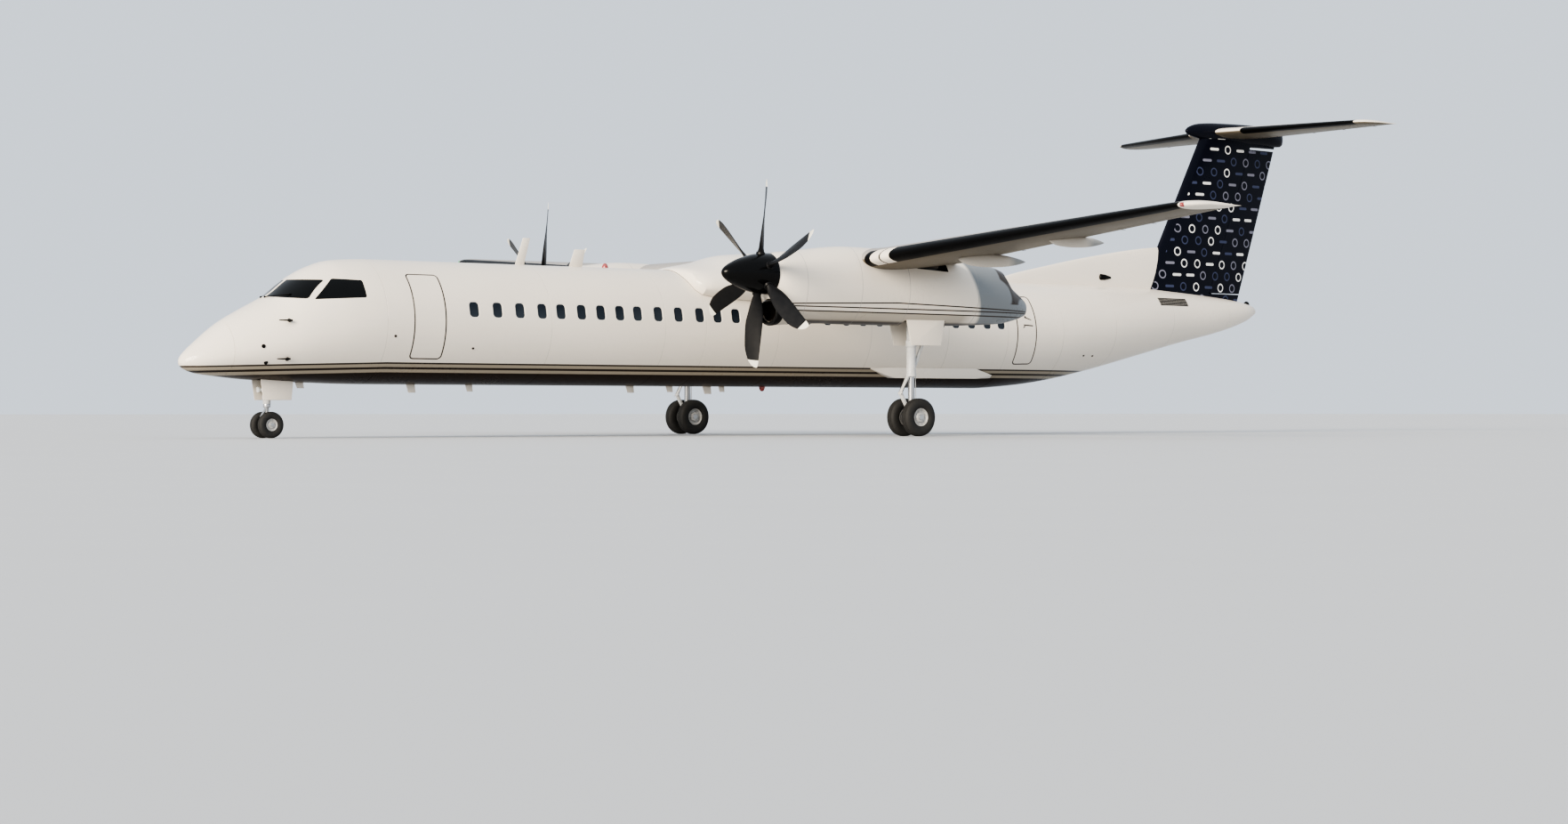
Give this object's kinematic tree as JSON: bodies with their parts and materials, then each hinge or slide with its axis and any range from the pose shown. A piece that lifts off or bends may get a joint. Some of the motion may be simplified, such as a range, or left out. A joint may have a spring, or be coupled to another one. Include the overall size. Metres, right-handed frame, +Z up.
{
  "type": "twin-turboprop regional airliner",
  "caption": "High-wing T-tail regional airliner on its wheels, with turning propellers, steered nose wheels, hinged tail and wing surfaces and a folding stair door.",
  "frame": {"origin": "on the ground, below the middle of the box around the airliner", "axes": "+X aft, +Y to starboard, +Z up"},
  "size_m": [32.83, 28.42, 8.34],
  "materials": {
    "paint_white": "gloss paint",
    "paint_grey": "satin paint",
    "paint_navy": "gloss paint",
    "propeller_black": "gloss composite",
    "cockpit_glass": "dark tinted laminated glass",
    "gear_steel": "painted and bare steel",
    "engine_metal": "cast and machined",
    "tyre": "worn rubber"
  },
  "bodies": {
    "airframe": {"belly_fairing_left": "paint_white", "belly_fairing_right": "paint_white", "bullet_fairing": "paint_navy", "dorsal_fin": "paint_white", "engine_left": "engine_metal", "engine_right": "engine_metal", "fin": "paint_navy", "fuselage": "paint_white", "inner_flap_left": "paint_grey", "inner_flap_right": "paint_grey", "main_door_left_inner": "paint_white", "main_door_left_outer": "paint_white", "main_door_right_inner": "paint_white", "main_door_right_outer": "paint_white", "main_leg_left": "gear_steel", "main_leg_right": "gear_steel", "nacelle_left": "paint_white", "nacelle_right": "paint_white", "nose_door_left": "paint_white", "nose_door_right": "paint_white", "nose_leg": "gear_steel", "outer_flap_left": "paint_grey", "outer_flap_right": "paint_grey", "radome": "paint_white", "rear_door": "paint_white", "service_door": "paint_white", "side_window_left": "cockpit_glass", "side_window_right": "cockpit_glass", "tail_cone": "paint_white", "tailplane": "paint_white", "windscreen_left": "cockpit_glass", "windscreen_right": "cockpit_glass", "wing_centre": "paint_grey", "wing_fairing": "paint_white", "wing_left": "paint_grey", "wing_right": "paint_grey"},
    "propeller_left_body": {"propeller_left": "propeller_black", "spinner_left": "propeller_black"},
    "propeller_right_body": {"propeller_right": "propeller_black", "spinner_right": "propeller_black"},
    "main_wheels_left": {"main_left_tyre_left": "tyre", "main_left_tyre_right": "tyre", "main_left_rim_left": "gear_steel", "main_left_rim_right": "gear_steel"},
    "main_wheels_right": {"main_right_tyre_left": "tyre", "main_right_tyre_right": "tyre", "main_right_rim_left": "gear_steel", "main_right_rim_right": "gear_steel"},
    "nose_steering_body": {"nose_steering": "gear_steel"},
    "nose_wheels": {"nose_tyre_left": "tyre", "nose_tyre_right": "tyre", "nose_rim_left": "gear_steel", "nose_rim_right": "gear_steel"},
    "stair_door_body": {"stair_door": "paint_white"},
    "rudder_body": {"rudder": "paint_navy"},
    "elevator_left_body": {"elevator_left": "paint_white"},
    "elevator_right_body": {"elevator_right": "paint_white"},
    "aileron_left_body": {"aileron_left": "paint_grey"},
    "aileron_right_body": {"aileron_right": "paint_grey"}
  },
  "joints": [
    {"name": "propeller_left_spin", "type": "hinge", "parent": "airframe", "child": "propeller_left_body", "pos_m": [-4.795, -4.4, 3.57], "axis": [1, 0, 0], "continuous": true},
    {"name": "main_wheels_left_roll", "type": "hinge", "parent": "airframe", "child": "main_wheels_left", "pos_m": [-0.475, -4.4, 0.43029], "axis": [0, 1, 0], "continuous": true},
    {"name": "propeller_right_spin", "type": "hinge", "parent": "airframe", "child": "propeller_right_body", "pos_m": [-4.795, 4.4, 3.57], "axis": [1, 0, 0], "continuous": true},
    {"name": "main_wheels_right_roll", "type": "hinge", "parent": "airframe", "child": "main_wheels_right", "pos_m": [-0.475, 4.4, 0.43029], "axis": [0, 1, 0], "continuous": true},
    {"name": "nose_steer", "type": "hinge", "parent": "airframe", "child": "nose_steering_body", "pos_m": [-14.415, 0, 0.5], "axis": [0, 0, 1], "range_deg": [-70, 70]},
    {"name": "nose_wheels_roll", "type": "hinge", "parent": "nose_steering_body", "child": "nose_wheels", "pos_m": [-14.415, 0, 0.27853], "axis": [0, 1, 0], "continuous": true},
    {"name": "stair_door_fold", "type": "hinge", "parent": "airframe", "child": "stair_door_body", "pos_m": [-11.615, -1.08119, 1.68996], "axis": [1, 0, 0], "range_deg": [0, 130]},
    {"name": "rudder_swing", "type": "hinge", "parent": "airframe", "child": "rudder_body", "pos_m": [13.4668, 0, 3.72], "axis": [0.3764, 0, 0.9265], "range_deg": [-18, 18]},
    {"name": "elevator_left_tilt", "type": "hinge", "parent": "airframe", "child": "elevator_left_body", "pos_m": [15.1702, -0.33, 8.06], "axis": [-0.0508, 0.9987, 0], "range_deg": [-25, 20]},
    {"name": "aileron_left_tilt", "type": "hinge", "parent": "airframe", "child": "aileron_left_body", "pos_m": [-0.3596, -11, 4.4635], "axis": [0.0232, 0.9966, -0.0796], "range_deg": [-20, 20]},
    {"name": "elevator_right_tilt", "type": "hinge", "parent": "airframe", "child": "elevator_right_body", "pos_m": [15.1702, 0.33, 8.06], "axis": [0.0508, 0.9987, 0], "range_deg": [-25, 20]},
    {"name": "aileron_right_tilt", "type": "hinge", "parent": "airframe", "child": "aileron_right_body", "pos_m": [-0.3596, 11, 4.4635], "axis": [-0.0232, 0.9966, 0.0796], "range_deg": [-20, 20]}
  ]
}
